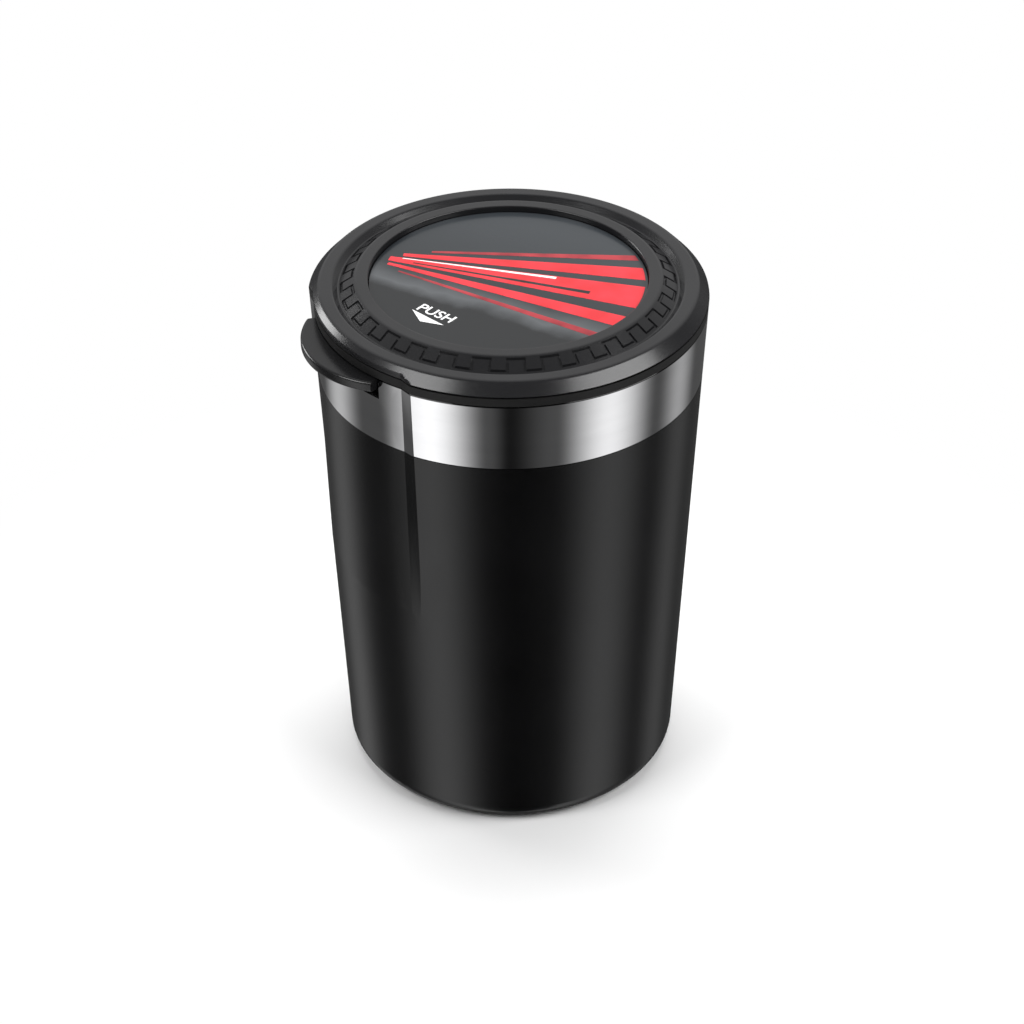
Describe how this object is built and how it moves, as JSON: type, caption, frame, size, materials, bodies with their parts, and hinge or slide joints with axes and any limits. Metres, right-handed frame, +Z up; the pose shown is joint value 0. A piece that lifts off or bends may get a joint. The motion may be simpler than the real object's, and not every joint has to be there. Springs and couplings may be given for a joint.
{
  "type": "car ashtray",
  "caption": "Tapered cup-holder ashtray with a hinged, bevelled lid, push-tab latch, bright trim band, lift-out metal liner and snuffer insert.",
  "frame": {"origin": "centre of the underside of the anti-slip pad, on the axis of the cup", "axes": "+Z up along the axis of the cup, -Y towards the push tab, +Y towards the hinge"},
  "size_m": [0.08, 0.0841, 0.1126],
  "materials": {
    "cup_black": "satin black",
    "pad_rubber": "matte",
    "band_steel": "polished",
    "collar_black": "fine matte",
    "liner_metal": "satin",
    "insert_metal": "satin",
    "pin_steel": "plain",
    "spring_steel": "plain",
    "lid_black": "satin black",
    "print_face": "printed, clear gloss",
    "gasket_rubber": "matte"
  },
  "bodies": {
    "cup": {"outer_cup": "cup_black", "base_pad": "pad_rubber", "trim_band": "band_steel", "collar": "collar_black", "ash_liner": "liner_metal", "snuffer_insert": "insert_metal", "hinge_pin": "pin_steel", "latch_pin": "pin_steel", "lid_spring": "spring_steel", "latch_spring": "spring_steel"},
    "lid": {"lid_shell": "lid_black", "lid_catch": "collar_black", "print_disc": "print_face", "inner_cover": "collar_black", "lid_gasket": "gasket_rubber", "cover_screws": "pin_steel"},
    "tab": {"push_tab": "lid_black"}
  },
  "joints": [
    {"name": "lid_hinge", "type": "hinge", "parent": "cup", "child": "lid", "pos_m": [0, 0.0374, 0.1087], "axis": [-1, 0, 0], "range_deg": [0, 95], "deforming": ["lid_spring"]},
    {"name": "tab_press", "type": "hinge", "parent": "cup", "child": "tab", "pos_m": [0, -0.0352, 0.1036], "axis": [1, 0, 0], "range_deg": [0, 12], "stiffness_Nm_per_rad": 0.05, "springref_deg": -2.86, "deforming": ["latch_spring"]}
  ]
}
